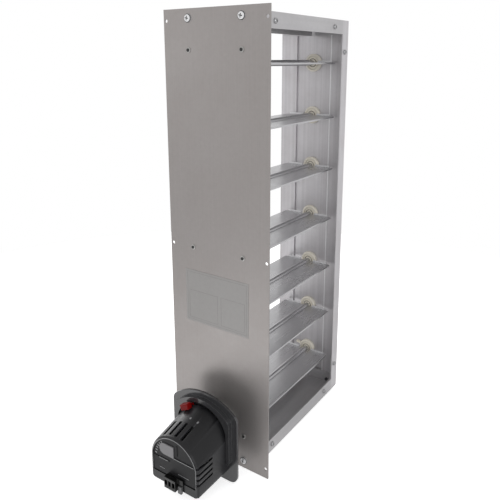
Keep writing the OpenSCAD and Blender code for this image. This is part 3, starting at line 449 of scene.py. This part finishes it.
class DAMPER_OT_finishes(bpy.types.Operator):
    """Makes the materials of the sheet metal, hardware and plastics"""

    bl_idname = "damper.finishes"
    bl_label = "Make finishes"

    def execute(self, context):
        metal, plastic = context.scene.damper_metal, context.scene.damper_plastic
        GROUPS["sheet"] = rolled_sheet_group()
        GROUPS["moulded"] = moulded_group()
        self.sheets(metal)
        self.plastics(plastic)
        return {"FINISHED"}

    def sheets(self, metal):
        """Sheet metal, hardware, and the label's film and rules."""
        fine = metal.brush_scale
        plate, folded, blade = metal.plate_color, metal.frame_color, metal.blade_color
        web = tint(folded, 1.12, 1.13, 1.15)

        def sheet(name, color, stain, stained, lines, lined, rough, metallic, relief, depth=0.1 * MM,
                  stain_scale=11.0):
            MATS[name] = finish(name, "sheet", {
                "Color": rgba(color), "Stain": rgba(stain), "Stain Amount": stained,
                "Stain Scale": stain_scale, "Lines": lines, "Line Amount": lined, "Roughness": rough},
                relief, depth, Metallic=metallic)

        sheet("plate_metal", plate, tint(plate, 0.80, 0.76, 0.72), stained=0.5,
              lines=(fine * 0.5, fine * 0.5, 6.0), lined=0.14, rough=0.40, metallic=0.56,
              relief=0.05, depth=0.2 * MM)
        sheet("frame_metal", folded, tint(folded, 0.78, 0.74, 0.70), stained=0.6,
              lines=(fine * 0.16, fine * 0.16, 3.0), lined=0.26, rough=0.44, metallic=0.70,
              relief=0.06, depth=0.2 * MM)
        sheet("web_metal", web, tint(web, 0.78, 0.73, 0.71), stained=0.7,
              lines=(fine * 0.16, fine * 0.16, 2.0), lined=0.50, rough=0.40, metallic=0.70,
              relief=0.08, depth=0.2 * MM, stain_scale=24.0)
        sheet("rail_metal", folded, tint(folded, 0.75, 0.75, 0.75), stained=0.5,
              lines=(fine * 0.2, 5.0, fine * 0.2), lined=0.2, rough=0.44, metallic=0.70,
              relief=0.06, depth=0.2 * MM)
        sheet("blade_metal", blade, tint(blade, 0.72, 0.72, 0.72), stained=0.5,
              lines=(fine * 0.3, 6.0, fine * 0.3), lined=0.16, rough=0.30, metallic=0.78, relief=0.006)
        # Bright metal for the pan screws, and a painted highlight on the channel's fold and the blades' end
        # edges
        sheet("bright_metal_and_highlight", (0.74, 0.74, 0.75), (0.60, 0.59, 0.58), stained=0.2,
              lines=(600.0, 600.0, 600.0), lined=0.06, rough=0.40, metallic=0.50, relief=0.01)
        sheet("screw_steel", (0.34, 0.34, 0.345), (0.22, 0.22, 0.22), stained=0.4,
              lines=(900.0, 900.0, 900.0), lined=0.3, rough=0.40, metallic=0.7, relief=0.10)
        sheet("zinc", metal.zinc_color, (0.20, 0.19, 0.17), stained=0.5,
              lines=(900.0, 900.0, 900.0), lined=0.25, rough=0.36, metallic=0.7, relief=0.10)
        sheet("dark_steel", (0.09, 0.09, 0.095), (0.05, 0.05, 0.05), stained=0.5,
              lines=(900.0, 900.0, 900.0), lined=0.3, rough=0.45, metallic=0.7, relief=0.10)
        sheet("spring_steel", (0.16, 0.17, 0.19), (0.09, 0.08, 0.07), stained=0.5,
              lines=(300.0, 300.0, 2000.0), lined=0.3, rough=0.35, metallic=0.9, relief=0.10)
        sheet("brass", (0.48, 0.33, 0.11), (0.30, 0.20, 0.07), stained=0.4,
              lines=(900.0, 900.0, 900.0), lined=0.2, rough=0.35, metallic=0.9, relief=0.08)
        sheet("board", (0.02, 0.16, 0.06), (0.01, 0.10, 0.04), stained=0.4,
              lines=(400.0, 400.0, 400.0), lined=0.2, rough=0.4, metallic=0.0, relief=0.05)
        sheet("label_film", (0.315, 0.305, 0.300), (0.26, 0.25, 0.24), stained=0.5,
              lines=(300.0, 300.0, 60.0), lined=0.05, rough=0.42, metallic=0.0, relief=0.04)
        sheet("label_ink", (0.23, 0.22, 0.215), (0.19, 0.18, 0.18), stained=0.4,
              lines=(300.0, 300.0, 60.0), lined=0.06, rough=0.5, metallic=0.0, relief=0.02)

    def plastics(self, plastic):
        """Moulded plastics, the paint of small marks, and the painted highlights and shade on rims, edges and
        recesses.
        """

        def moulded(name, color, rough, wear_and_sheen, paler, **more):
            worn_and_sheen = [min(1.0, c * paler + 0.02) for c in color]
            MATS[name] = finish(name, "moulded", {
                "Color": rgba(color), "Worn And Sheen": rgba(worn_and_sheen), "Wear And Sheen": wear_and_sheen, "Grain": plastic.grain_scale,
                "Roughness": rough}, relief=0.10, depth=0.2 * MM, **more)

        # The base's and the cover's paler edges are mostly a painted highlight along their ridges and rims
        moulded("base_plastic", plastic.base_color, rough=0.16, wear_and_sheen=0.9, paler=9.0, Specular_IOR_Level=0.65)
        moulded("cover_plastic", plastic.cover_color, rough=0.32, wear_and_sheen=0.3, paler=8.0,
                Specular_IOR_Level=0.25)
        moulded("panel_plastic", (0.010, 0.010, 0.011), rough=0.40, wear_and_sheen=0.0, paler=8.0,
                Specular_IOR_Level=0.12)
        # Light plastic on the panel's rim and the cover's nubs, a painted highlight
        moulded("rim_highlight_plastic", (0.20, 0.20, 0.205), rough=0.22, wear_and_sheen=0.0, paler=1.5)
        # Painted shade and brown grime round the bushings' bores
        moulded("bore_shade", (0.14, 0.12, 0.095), rough=0.5, wear_and_sheen=0.0, paler=1.2)
        moulded("recess_shade", (0.012, 0.012, 0.012), rough=0.6, wear_and_sheen=0.0, paler=1.5)
        moulded("cap_plastic", plastic.cap_color, rough=0.42, wear_and_sheen=0.0, paler=1.6)
        moulded("terminal_plastic", (0.003, 0.003, 0.003), rough=0.36, wear_and_sheen=0.0, paler=4.0,
                Specular_IOR_Level=0.25)
        moulded("latch_plastic", (0.070, 0.070, 0.072), rough=0.40, wear_and_sheen=0.0, paler=2.0)
        # Light paint for the panel's ticks and lines, and a painted highlight on the step bead
        moulded("mark_paint_and_highlight", (0.30, 0.30, 0.305), rough=0.45, wear_and_sheen=0.0, paler=1.2)
        moulded("red_plastic", plastic.lever_color, rough=0.42, wear_and_sheen=0.0, paler=1.5, Specular_IOR_Level=0.10)
        moulded("white_plastic", (0.72, 0.70, 0.64), rough=0.42, wear_and_sheen=0.2, paler=1.1)
        moulded("nylon", plastic.nylon_color, rough=0.40, wear_and_sheen=0.3, paler=1.3)


class DAMPER_OT_sheet_metal(bpy.types.Operator):
    """Finishes the face plate, the frame, the blades and the hardware"""

    bl_idname = "damper.sheet_metal"
    bl_label = "Finish sheet metal"

    def execute(self, context):
        paint("plate_metal", "face_plate")
        paint("frame_metal", "near_channel", "corner_brackets")
        paint("web_metal", "far_channel")
        paint("rail_metal", "top_rail", "bottom_rail", "top_stop", "bottom_stop")
        paint("blade_metal", *each("blade"))
        paint("screw_steel", "corner_screws")
        paint("bright_metal_and_highlight", "rail_screws")
        paint("zinc", "plate_rivets", "mounting_plate", "mounting_plate_screws", "base_screws",
              "gear_plate", "gear_plate_screws", "idler_axle", "cover_screws", "motor_screws",
              "linkage_bar", *each("shaft"), *each("crank"))
        paint("dark_steel", "far_rivets", "motor")
        paint("spring_steel", "return_spring")
        paint("brass", "motor_pinion")
        paint("board", "circuit_board")
        return {"FINISHED"}


class DAMPER_OT_channel_fold(bpy.types.Operator):
    """Adds the fold line beside the far channel's strip, painted light as the fold's highlight"""

    bl_idname = "damper.channel_fold"
    bl_label = "Add channel fold"

    def execute(self, context):
        wide, thick, ends, ease = 1.6 * MM, 0.4 * MM, 6 * MM, 0.15 * MM
        beside, in_front = 0.5 * MM, 0.1 * MM
        low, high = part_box("far_channel")
        bm = bmesh.new()
        bar(bm, Vector((STRIP_HALF + beside, FAR_WEB - in_front, 0)), (wide, thick, high.z - low.z - ends),
            ease=ease)
        piece("far_web_fold_highlight", bm, "bright_metal_and_highlight", "frame")
        return {"FINISHED"}


class DAMPER_OT_blade_edges(bpy.types.Operator):
    """Adds the blades' turned-up end edges, painted bright as a highlight"""

    bl_idname = "damper.blade_edges"
    bl_label = "Add blade edges"

    def execute(self, context):
        tall, proud, ease = 2.4 * MM, 0.1 * MM, 0.12 * MM
        for name in each("blade"):
            low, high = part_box(name)
            number = name.split("_")[1]
            body = "lowest_blade" if number == "1" else "blade_set_" + number
            bm = bmesh.new()
            for y in (low.y + LIP_WALL / 2, high.y - LIP_WALL / 2):
                for side in (-1, 1):
                    middle = Vector((side * (LIP_IN + LIP_OUT) / 2, y, (low.z + high.z) / 2 + LIP_TOP))
                    bar(bm, middle, (LIP_OUT - LIP_IN, LIP_WALL + proud, tall), ease=ease)
            piece("blade_edge_highlight_" + number, bm, "bright_metal_and_highlight", body)
        return {"FINISHED"}


class DAMPER_OT_screw_recesses(bpy.types.Operator):
    """Adds painted shade to the plate's screws and rivets: dark crosses in the screws' recesses, dark rings
    at the heads' joints and dark centres in the rivets
    """

    bl_idname = "damper.screw_recesses"
    bl_label = "Add screw recesses"

    def execute(self, context):
        cross, cross_in, cross_turn = (5.0 * MM, 0.7 * MM, 1.3 * MM), 0.5 * MM, 10
        ring_radius, ring_thick, ring_out = 5.3 * MM, 0.3 * MM, 0.65 * MM
        hole_radius, hole_thick, hole_in = 2.2 * MM, 0.6 * MM, 0.25 * MM
        # Dark crosses, rings and rivet centres: painted shade in the recesses, the head joints and the rivet
        # holes
        bm = bmesh.new()
        low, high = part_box("rail_screws")
        for x in (-SCREW_X, SCREW_X):
            for z in (low.z + SCREW_RADIUS, high.z - SCREW_RADIUS):
                for turn in (0, 90):
                    bar(bm, Vector((x, low.y + cross_in, z)), cross, math.radians(turn + cross_turn))
                disc(bm, (x, -PLATE_T - ring_out, z), ring_radius, ring_thick, 32)
        low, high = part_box("plate_rivets")
        for x in (-SCREW_X, SCREW_X):
            for z in (low.z + RIVET_RADIUS, 0, high.z - RIVET_RADIUS):
                disc(bm, (x, low.y + hole_in, z), hole_radius, hole_thick, 24)
        piece("screw_recesses", bm, "recess_shade", "frame")
        return {"FINISHED"}


class DAMPER_OT_bushings(bpy.types.Operator):
    """Finishes the nylon bushings and the gears, rounds the far bushings' rims, and rings their bores with
    painted shade and brown grime
    """

    bl_idname = "damper.bushings"
    bl_label = "Finish bushings"

    def execute(self, context):
        paint("nylon", "near_bushings", "far_bushings", "output_hub")
        paint("white_plastic", "output_gear", "idler_gear")
        rim_in, rim_thick = 2.0 * MM, 1.7 * MM
        bore_radius, bore_thick, bore_out = 6.1 * MM, 0.6 * MM, 1.2 * MM
        low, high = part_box("far_bushings")
        count = len(each("blade"))
        pitch = (high.z - low.z - 2 * BUSHING_RADIUS) / (count - 1)
        # Each bore gets a ring of painted shade and brown grime
        rims, bores = bmesh.new(), bmesh.new()
        for i in range(count):
            z = low.z + BUSHING_RADIUS + i * pitch
            ring(rims, Vector((0, BUSHING_FACE, z)), BUSHING_RADIUS - rim_in, rim_thick, steps=48, around=10)
            ring(bores, Vector((0, BUSHING_FACE - bore_out, z)), bore_radius, bore_thick, steps=32, around=8)
        smooth(piece("bushing_rims", rims, "nylon", "frame"))
        smooth(piece("bushing_bore_shade", bores, "bore_shade", "frame"))
        return {"FINISHED"}


class DAMPER_OT_actuator(bpy.types.Operator):
    """Eases the edges of the actuator's moulded pieces and finishes them"""

    bl_idname = "damper.actuator"
    bl_label = "Finish actuator"

    def execute(self, context):
        paint("panel_plastic", "front_panel")
        for node, mat, width, body in (
                ("actuator_base", "base_plastic", 0.9 * MM, "frame"),
                ("actuator_cover", "cover_plastic", 0.5 * MM, "frame"),
                ("release_lever", "red_plastic", 0.8 * MM, "lever"),
                ("front_cap", "cap_plastic", 0.5 * MM, "frame"),
                ("terminal_block", "terminal_plastic", 0.4 * MM, "frame"),
                ("connector_latch", "latch_plastic", 0.6 * MM, "frame")):
            paint(mat, node)
            eased_copy(node, mat, width, body)
        return {"FINISHED"}


class DAMPER_OT_panel_marks(bpy.types.Operator):
    """Adds the scale of ticks and the raised lines to the front panel, and a bead along the step painted
    light as its highlight
    """

    bl_idname = "damper.panel_marks"
    bl_label = "Add panel marks"

    def execute(self, context):
        marks = context.scene.damper_marks
        line, proud, z0 = marks.line_width, 0.3 * MM, DRIVE_Z
        upper, lower = PANEL_LOW.y + PANEL_STEP - proud / 2, PANEL_LOW.y - proud / 2

        # Scale of ticks on an arc beside the cap, and two fine lines on the lower field
        arc_z, arc_radius, tick_length = z0 - 8.5 * MM, 31.2 * MM, 3.0 * MM
        first, spread, last = 132, 40, marks.tick_count - 1
        bm = bmesh.new()
        for i in range(marks.tick_count):
            turn = math.radians(first + spread * i / last)
            middle = Vector((math.cos(turn) * arc_radius, upper, arc_z + math.sin(turn) * arc_radius))
            bar(bm, middle, (tick_length, proud, line * 2.0), -turn, 0.08 * MM)
        bar(bm, Vector((-20.5 * MM, lower, z0 - 22.1 * MM)), (9 * MM, proud, line * 0.8), ease=0.06 * MM)
        bar(bm, Vector((16 * MM, lower, z0 - 20.1 * MM)), (18 * MM, proud, line * 0.7), ease=0.06 * MM)
        piece("panel_ticks", bm, "mark_paint_and_highlight", "frame")

        # Bead along the step between the panel's two fields, painted light as the step edge's highlight
        bm = bmesh.new()
        bar(bm, Vector((-17.5 * MM, lower, z0 - 8.2 * MM)), (15 * MM, proud * 2, line), ease=0.1 * MM)
        bar(bm, Vector((14.5 * MM, lower, z0 - 0.4 * MM)), (36 * MM, proud * 2, line), ease=0.1 * MM)
        piece("panel_step_highlight", bm, "mark_paint_and_highlight", "frame")
        return {"FINISHED"}


class DAMPER_OT_panel_rim(bpy.types.Operator):
    """Adds the bead round the panel, painted light as a highlight: up one side, over the arch and down the
    other
    """

    bl_idname = "damper.panel_rim"
    bl_label = "Add panel rim"

    def execute(self, context):
        side_x, foot_z = 36.2 * MM, -28.5 * MM
        corner_x, corner_z, corner_turn = 31.5 * MM, -3.3 * MM, math.radians(14.25)
        arch_z, arch_turn = -11.3 * MM, math.pi - 2 * corner_turn
        y, z0 = COVER_LOW.y - 0.05 * MM, DRIVE_Z
        bm = bmesh.new()
        made = bmesh.ops.create_circle(bm, radius=context.scene.damper_marks.bead_radius, segments=10,
                                       matrix=Matrix.Translation((side_x, y, z0 + foot_z)))
        first = edges_of(made["verts"])

        def straight(loop, rise):
            grown = bmesh.ops.extrude_edge_only(bm, edges=loop)["geom"]
            verts = {g for g in grown if isinstance(g, bmesh.types.BMVert)}
            bmesh.ops.translate(bm, verts=list(verts), vec=(0, 0, rise))
            return [g for g in grown if isinstance(g, bmesh.types.BMEdge) and set(g.verts) <= verts]

        def bend(loop, x, z, turn, steps):
            grown = bmesh.ops.spin(bm, geom=loop, cent=(x, y, z0 + z), axis=(0, 1, 0), angle=-turn,
                                   steps=steps, use_merge=False, use_duplicate=False)["geom_last"]
            return [g for g in grown if isinstance(g, bmesh.types.BMEdge)]

        loop = straight(first, corner_z - foot_z)
        loop = bend(loop, corner_x, corner_z, corner_turn, steps=4)
        loop = bend(loop, 0, arch_z, arch_turn, steps=40)
        loop = bend(loop, -corner_x, corner_z, corner_turn, steps=4)
        last = straight(loop, foot_z - corner_z)
        for end in (first, last):
            bmesh.ops.contextual_create(bm, geom=end)
        smooth(piece("panel_rim", bm, "rim_highlight_plastic", "frame"), corners=4)
        return {"FINISHED"}


class DAMPER_OT_cover_nubs(bpy.types.Operator):
    """Adds two small nubs on top of the cover, painted light as highlights"""

    bl_idname = "damper.cover_nubs"
    bl_label = "Add cover nubs"

    def execute(self, context):
        y, stretch = -61.6 * MM, (1, 1.7, 0.8, 1)
        bm = bmesh.new()
        for x, z in ((-1.0 * MM, 36.4 * MM), (11.0 * MM, 34.8 * MM)):
            spot = Matrix.Translation((x, y, DRIVE_Z + z)) @ Matrix.Diagonal(stretch)
            bmesh.ops.create_uvsphere(bm, u_segments=16, v_segments=8,
                                      radius=context.scene.damper_marks.nub_radius, matrix=spot)
        smooth(piece("cover_nubs", bm, "rim_highlight_plastic", "frame"))
        return {"FINISHED"}


class DAMPER_OT_rating_label(bpy.types.Operator):
    """Finishes the bare label and gives it blank ruled fields"""

    bl_idname = "damper.rating_label"
    bl_label = "Finish label"

    def execute(self, context):
        paint("label_film", "rating_label")
        margin = context.scene.damper_marks.label_margin
        line, thick = 0.35 * MM, 0.08 * MM
        y = LABEL_LOW.y - 0.02 * MM
        x0, x1 = LABEL_LOW.x + margin, LABEL_HIGH.x - margin
        z0, z1 = LABEL_LOW.z + margin, LABEL_HIGH.z - margin
        bm = bmesh.new()

        def field(left, right, low, high):
            for z in (low, high):
                bar(bm, Vector(((left + right) / 2, y, z)), (right - left + line, thick, line))
            for x in (left, right):
                bar(bm, Vector((x, y, (low + high) / 2)), (line, thick, high - low))

        # One frame round the label, and two fields side by side in its lower part
        tall, left_to, right_from = 0.62, 0.52, 0.58
        top = z0 + (z1 - z0) * tall
        field(x0, x1, z0, z1)
        field(x0 + margin, x0 + (x1 - x0) * left_to, z0 + margin, top)
        field(x0 + (x1 - x0) * right_from, x1 - margin, z0 + margin, top)
        piece("label_fields", bm, "label_ink", "frame")
        return {"FINISHED"}


# Studio

def floor_material(studio):
    """Pale paper for the camera; mirrored rays see a glow that fades away from the object."""
    mat = bpy.data.materials.new("studio_floor")
    mat.use_nodes = True
    tree = mat.node_tree
    tree.nodes.clear()
    out = tree.nodes.new("ShaderNodeOutputMaterial")
    paper = add(tree, "ShaderNodeBsdfDiffuse", Color=(0.9, 0.9, 0.9, 1))
    glow = add(tree, "ShaderNodeEmission", Color=(1, 1, 1, 1))

    # The table is brightest in front of the object, to the left, and metal mirrors that
    shift = add(tree, "ShaderNodeVectorMath", {"operation": "ADD"})
    feed(tree, shift.inputs[0], tree.nodes.new("ShaderNodeTexCoord").outputs["Object"])
    feed(tree, shift.inputs[1], (0.10, 0.30, 0))
    reach = add(tree, "ShaderNodeVectorMath", {"operation": "LENGTH"})
    feed(tree, reach.inputs[0], shift.outputs[0])
    inner, outer = 0.18, 0.58
    near = ranged(tree, reach.outputs["Value"], inner, outer, studio.table_near, studio.table_far,
                  {"interpolation_type": "SMOOTHSTEP"})

    paper_glow = 0.62
    path = tree.nodes.new("ShaderNodeLightPath")
    camera_ray = path.outputs["Is Camera Ray"]
    mirrored = calc(tree, "MULTIPLY", near, calc(tree, "SUBTRACT", 1.0, camera_ray))
    shown = calc(tree, "MULTIPLY", camera_ray, paper_glow)
    feed(tree, glow.inputs["Strength"], calc(tree, "ADD", mirrored, shown))
    both = tree.nodes.new("ShaderNodeAddShader")
    feed(tree, both.inputs[0], paper.outputs[0])
    feed(tree, both.inputs[1], glow.outputs[0])
    pick = tree.nodes.new("ShaderNodeMixShader")
    feed(tree, pick.inputs[0], calc(tree, "MAXIMUM", camera_ray, path.outputs["Is Glossy Ray"]))
    feed(tree, pick.inputs[1], paper.outputs[0])
    feed(tree, pick.inputs[2], both.outputs[0])
    feed(tree, out.inputs[0], pick.outputs[0])
    return mat


def white_world(ambient):
    """A world that is white where the camera, metal or glass sees it, and dimmer as a light."""
    world = bpy.data.worlds.new("studio_world")
    world.use_nodes = True
    tree = world.node_tree
    back = next(n for n in tree.nodes if n.type == "BACKGROUND")
    back.inputs["Color"].default_value = (1, 1, 1, 1)
    path = tree.nodes.new("ShaderNodeLightPath")
    seen = calc(tree, "MAXIMUM", path.outputs["Is Camera Ray"], path.outputs["Is Transmission Ray"])
    seen = calc(tree, "MAXIMUM", seen, path.outputs["Is Glossy Ray"])
    level = calc(tree, "ADD", calc(tree, "MULTIPLY", seen, 1.0 - ambient), ambient)
    feed(tree, back.inputs["Strength"], level)
    return world


def area_light(name, power, size, spot, target, color=(1, 1, 1)):
    """A square soft light aimed at a point."""
    data = bpy.data.lights.new(name, "AREA")
    data.energy, data.size, data.color = power, size, color
    obj = in_scene(name, data)
    obj.location = spot
    obj.rotation_euler = (Vector(target) - Vector(spot)).to_track_quat("-Z", "Y").to_euler()


def photo_camera(lens):
    """The camera at the photograph's place and angle."""
    data = bpy.data.cameras.new("studio_camera")
    data.lens, data.sensor_width = lens, 36.0
    data.shift_x, data.shift_y = CAMERA_SHIFT
    data.clip_start, data.clip_end = 0.01, 30.0
    camera = in_scene("studio_camera", data)
    level = math.cos(CAMERA_PITCH)
    ahead = Vector((-math.sin(CAMERA_YAW) * level, math.cos(CAMERA_YAW) * level, -math.sin(CAMERA_PITCH)))
    right = Vector((math.cos(CAMERA_YAW), math.sin(CAMERA_YAW), 0))
    turn = Matrix((right, right.cross(ahead), -ahead)).transposed().to_4x4()
    camera.matrix_world = Matrix.Translation(CAMERA_SPOT) @ turn
    return camera


class DAMPER_OT_studio(bpy.types.Operator):
    """Makes the floor, the backdrop light, the lamps and the camera"""

    bl_idname = "damper.studio"
    bl_label = "Make studio"

    def execute(self, context):
        scene, studio = context.scene, context.scene.damper_studio
        floor_z = CAD_BOX[0][2] - 0.5 * MM
        bm = bmesh.new()
        bmesh.ops.create_circle(bm, cap_ends=True, radius=1.1, segments=64,
                                matrix=Matrix.Translation((0, 0, floor_z)))
        data = bpy.data.meshes.new("studio_floor")
        bm.to_mesh(data)
        bm.free()
        data.materials.append(floor_material(studio))
        floor = in_scene("studio_floor", data)

        scene.world = white_world(studio.ambient)
        area_light("key_light", studio.key_power, 0.8, (-1.30, -1.00, 0.35), (0, 0, 0))
        area_light("side_light", studio.side_power, 0.8, (1.20, -0.80, 0.35), (0, 0.1, 0), (0.97, 0.98, 1.0))
        area_light("back_light", studio.back_power, 0.8, (-1.35, 0.40, 0.30), (0, 0.1, 0))
        area_light("top_light", studio.top_power, 0.9, (0.1, 0.2, 1.6), (0, 0.1, 0.2))
        scene.camera = photo_camera(studio.lens)
        scene.view_settings.view_transform = "Standard"
        return {"FINISHED"}


class DAMPER_PT_looks(bpy.types.Panel):
    """Sizes, colours and steps of the damper's looks"""

    bl_label = "Damper"
    bl_idname = "DAMPER_PT_looks"
    bl_space_type = "VIEW_3D"
    bl_region_type = "UI"
    bl_category = "Damper"

    def draw(self, context):
        for group in PROPERTIES:
            box = self.layout.box()
            for key in PROPERTIES[group].__annotations__:
                box.prop(getattr(context.scene, group), key)
        for step in OPERATORS:
            self.layout.operator(step.bl_idname)


PROPERTIES = {"damper_metal": DamperMetal, "damper_plastic": DamperPlastic,
              "damper_marks": DamperMarks, "damper_studio": DamperStudio}
OPERATORS = (DAMPER_OT_finishes, DAMPER_OT_studio, DAMPER_OT_sheet_metal, DAMPER_OT_channel_fold,
             DAMPER_OT_blade_edges, DAMPER_OT_screw_recesses, DAMPER_OT_bushings, DAMPER_OT_actuator,
             DAMPER_OT_panel_marks, DAMPER_OT_panel_rim, DAMPER_OT_cover_nubs, DAMPER_OT_rating_label)


def register():
    """Registers the classes and hangs the property groups on the scene."""
    for name, group in PROPERTIES.items():
        bpy.utils.register_class(group)
        setattr(bpy.types.Scene, name, bpy.props.PointerProperty(type=group))
    for cls in (*OPERATORS, DAMPER_PT_looks):
        bpy.utils.register_class(cls)


def unregister():
    """Takes back all that register does, in reverse order."""
    for cls in (DAMPER_PT_looks, *reversed(OPERATORS)):
        bpy.utils.unregister_class(cls)
    for name, group in reversed(PROPERTIES.items()):
        delattr(bpy.types.Scene, name)
        bpy.utils.unregister_class(group)


def main():
    """Makes everything in order."""
    register()
    for step in OPERATORS:
        family, name = step.bl_idname.split(".")
        getattr(getattr(bpy.ops, family), name)()


if __name__ == "__main__":
    main()
